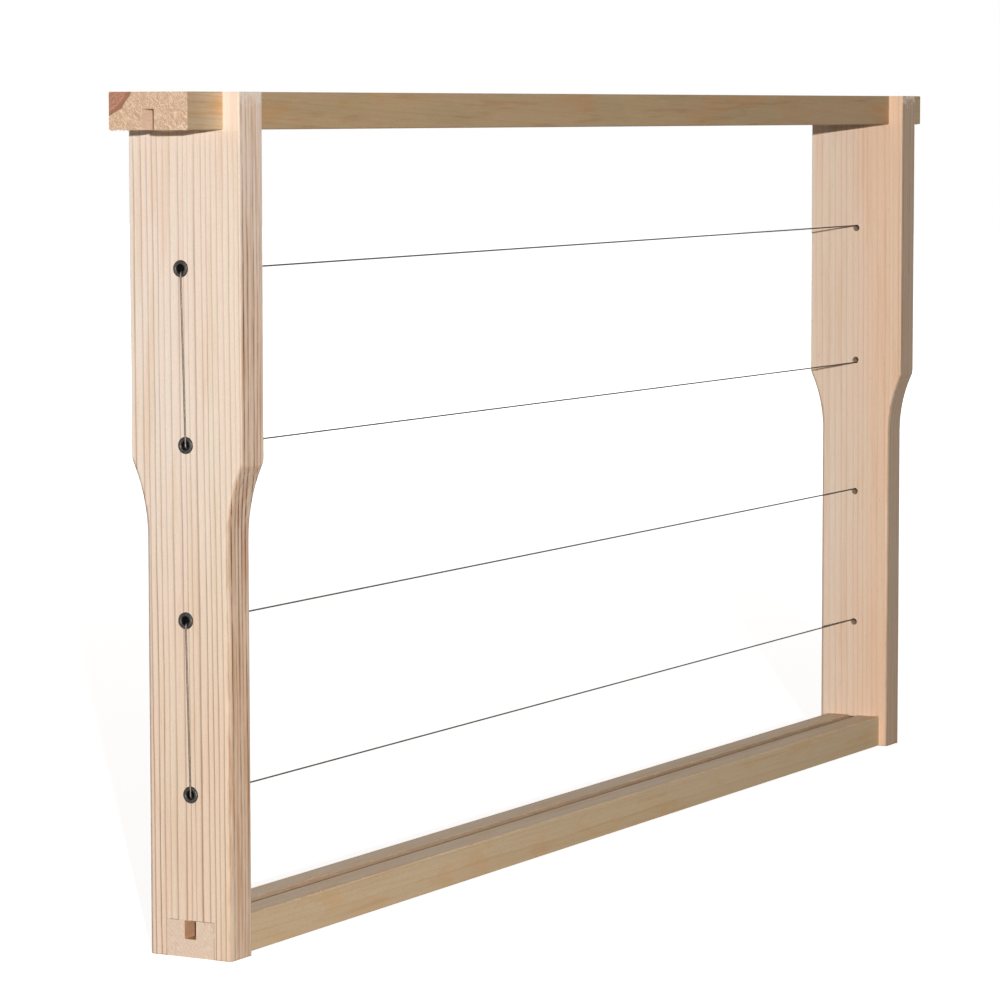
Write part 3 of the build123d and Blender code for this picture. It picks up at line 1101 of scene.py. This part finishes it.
@dataclass
class Studio:
    """A plain pale floor, a small key lamp beside the camera, a lamp behind, fill and camera."""

    key_place: Vector = field(default_factory=lambda: Vector((-1.925, -1.24, 0.38)))
    key_power: float = 182.0
    key_radius: float = 0.014
    back_place: Vector = field(default_factory=lambda: Vector((1.5, 1.9, 0.30)))
    back_power: float = 75.0
    back_radius: float = 0.4
    lamp_tone: Colour = (1.0, 0.985, 0.96)
    sky: Colour = (1.0, 0.975, 0.95)
    low_sky: Colour = (1.0, 0.86, 0.76)
    sky_strength: float = 0.36
    low_share: float = 0.15
    floor_size: float = 12.0
    floor_tone: Colour = (0.8, 0.8, 0.8)
    floor_bounce: Colour = (0.22, 0.20, 0.18)
    near_glow: float = 0.74
    glow_from: float = 0.5
    glow_to: float = 1.6
    camera_place: Vector = field(default_factory=lambda: Vector((-1.16222, -0.61067, 0.22664)))
    camera_azimuth: float = -61.217
    camera_elevation: float = 5.273
    camera_roll: float = -0.080
    camera_lens: float = 151.44
    camera_sensor: float = 36.0

    def build(self) -> None:
        """Make the floor, the light and the camera."""
        self._floor()
        self._world()
        self._lamp("key", self.key_place, self.key_power, self.key_radius)
        self._lamp("back_fill", self.back_place, self.back_power, self.back_radius)
        self._camera()
        bpy.context.scene.view_settings.view_transform = "Standard"
        log.info("studio ready")

    def _seen(self, g: Nodes) -> Socket:
        """Tell whether a ray comes from the camera, straight or through gloss or glass.

        Args:
            g: The graph that asks.

        Returns:
            1 for such a ray and 0 for the others.
        """
        path = g.node("ShaderNodeLightPath")
        return g.maths("MAXIMUM", path.outputs["Is Camera Ray"],
                       g.maths("MAXIMUM", path.outputs["Is Glossy Ray"],
                               path.outputs["Is Transmission Ray"]))

    def _floor(self) -> None:
        """Lay a white floor at the object's foot.

        The camera and reflections see it near white with the object's shadow on it, and plain
        white further off. Other rays see a duller floor, which throws less light back up.
        """
        half = self.floor_size / 2
        mesh = bpy.data.meshes.new("floor")
        corners = [(-half, -half, 0), (half, -half, 0), (half, half, 0), (-half, half, 0)]
        mesh.from_pydata(corners, [], [(0, 1, 2, 3)])
        floor = bpy.data.objects.new("floor", mesh)
        bpy.context.scene.collection.objects.link(floor)
        g = Graph("studio_floor")
        seen = self._seen(g)
        g.plug(g.mix(seen, self.floor_bounce, self.floor_tone), g.shader.inputs["Base Color"])
        g.plug(1.0, g.shader.inputs["Roughness"])
        g.plug(0.0, g.shader.inputs["Specular IOR Level"])
        g.plug((1.0, 1.0, 1.0), g.shader.inputs["Emission Color"])
        away = g.node("ShaderNodeVectorMath", operation="LENGTH")
        g.plug(g.node("ShaderNodeTexCoord").outputs["Object"], away.inputs[0])
        glow = g.span(away.outputs["Value"], self.glow_from, self.glow_to, self.near_glow, 1.0,
                      smooth=True)
        g.plug(g.maths("MULTIPLY", seen, glow), g.shader.inputs["Emission Strength"])
        mesh.materials.append(g.material)

    def _world(self) -> None:
        """Fill with soft light, stronger from above; the camera sees plain white.

        The fill grows with the height of the direction it comes from, to its full strength
        overhead, and it is warmer near the horizon.
        """
        world = bpy.data.worlds.new("studio_world")
        world.use_nodes = True
        w = Nodes(world.node_tree)
        direction = w.node("ShaderNodeSeparateXYZ")
        w.plug(w.node("ShaderNodeTexCoord").outputs["Generated"], direction.inputs[0])
        rise = direction.outputs["Z"]
        fill = w.node("ShaderNodeBackground")
        w.plug(w.mix(rise, self.low_sky, self.sky), fill.inputs["Color"])
        w.plug(w.span(rise, 0.0, 1.0, self.low_share * self.sky_strength, self.sky_strength),
               fill.inputs["Strength"])
        white = w.node("ShaderNodeBackground")
        w.plug((1.0, 1.0, 1.0), white.inputs["Color"])
        choose = w.node("ShaderNodeMixShader")
        for value, socket in zip((self._seen(w), fill.outputs[0], white.outputs[0]),
                                 choose.inputs):
            w.plug(value, socket)
        w.plug(choose.outputs[0], w.node("ShaderNodeOutputWorld").inputs["Surface"])
        bpy.context.scene.world = world

    def _lamp(self, name: str, place: Vector, power: float, radius: float) -> None:
        """Set a lamp that the camera doesn't see.

        Args:
            name: The lamp's name.
            place: Where it stands, in metres.
            power: Its power in watts.
            radius: Its radius in metres, which softens its shadows.
        """
        data = bpy.data.lights.new(name, "POINT")
        data.energy = power
        data.shadow_soft_size = radius
        data.color = self.lamp_tone
        lamp = bpy.data.objects.new(name, data)
        lamp.location = place
        lamp.visible_camera = False
        bpy.context.scene.collection.objects.link(lamp)

    def _camera(self) -> None:
        """Aim the camera by its azimuth, elevation and roll."""
        data = bpy.data.cameras.new("camera")
        data.lens = self.camera_lens
        data.sensor_width = self.camera_sensor
        data.clip_end = 100.0
        camera = bpy.data.objects.new("camera", data)
        turn = (Matrix.Rotation(math.radians(self.camera_azimuth), 4, "Z")
                @ Matrix.Rotation(math.radians(90 - self.camera_elevation), 4, "X")
                @ Matrix.Rotation(math.radians(self.camera_roll), 4, "Z"))
        camera.matrix_world = Matrix.Translation(self.camera_place) @ turn
        bpy.context.scene.collection.objects.link(camera)
        bpy.context.scene.camera = camera


def main() -> None:
    """Build the studio and dress the frame, piece by piece."""
    Studio().build()
    EndBars().build()
    TopBar().build()
    BottomBar().build()
    Steelwork().build()


if __name__ == "__main__":
    main()
